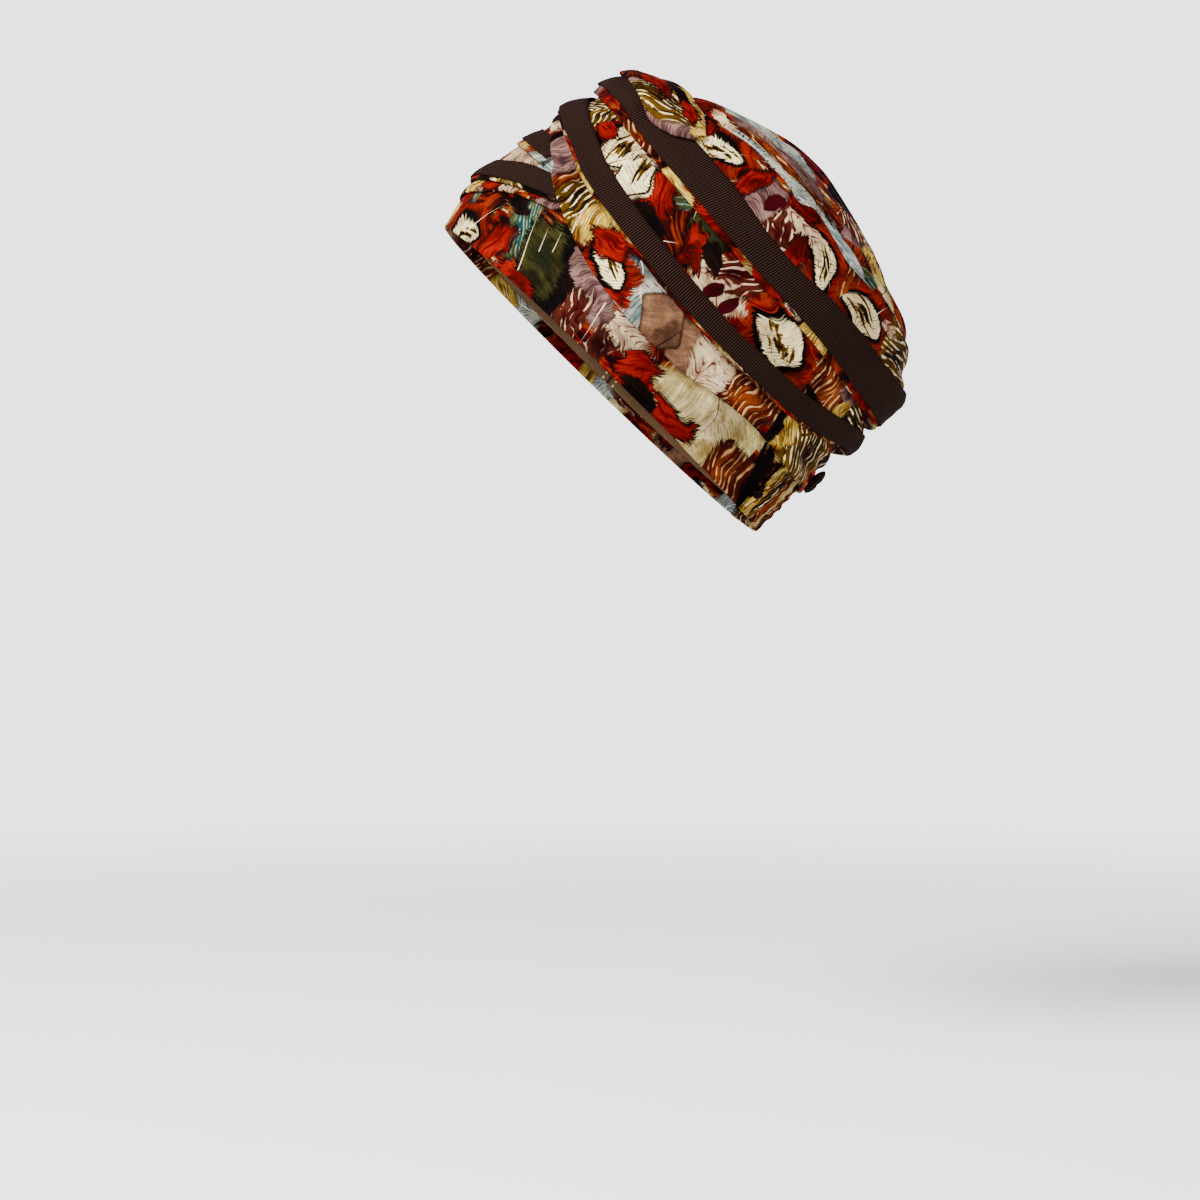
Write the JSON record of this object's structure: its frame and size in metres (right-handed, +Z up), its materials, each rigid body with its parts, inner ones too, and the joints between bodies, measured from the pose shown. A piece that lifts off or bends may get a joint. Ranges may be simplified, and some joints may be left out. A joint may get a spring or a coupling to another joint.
{
  "type": "turban headwrap",
  "caption": "Pre-tied turban headwrap: a closed cap with crossed, ribbon-edged pleated wraps over a rim band and a gathered elastic nape.",
  "frame": {"origin": "middle of the head opening, in the plane of the rim", "axes": "+Z is up when worn, the wearer faces -Y and the wearer's left is +X; the rim plane dips 44.3 degrees towards the nape"},
  "size_m": [0.1786, 0.2093, 0.2121],
  "materials": {
    "printed_cloth": "woven cotton with a feather print in red, orange, brown, cream, teal and green",
    "brown_ribbon": "matt dark brown ribbed grosgrain ribbon",
    "brown_cloth": "dark brown and gold striped woven cotton"
  },
  "bodies": {
    "root": {"crown_cap": "printed_cloth", "rim_band": "printed_cloth", "nape_gather": "printed_cloth", "nape_knot": "brown_cloth", "right_fold_low": "printed_cloth", "right_fold_middle": "printed_cloth", "right_fold_top": "printed_cloth", "right_ribbon_narrow": "brown_ribbon", "right_ribbon_wide": "brown_ribbon", "left_fold_low": "printed_cloth", "left_fold_middle": "printed_cloth", "left_fold_top": "printed_cloth", "left_ribbon_narrow": "brown_ribbon", "left_ribbon_wide": "brown_ribbon", "left_pleat": "printed_cloth"}
  },
  "joints": []
}
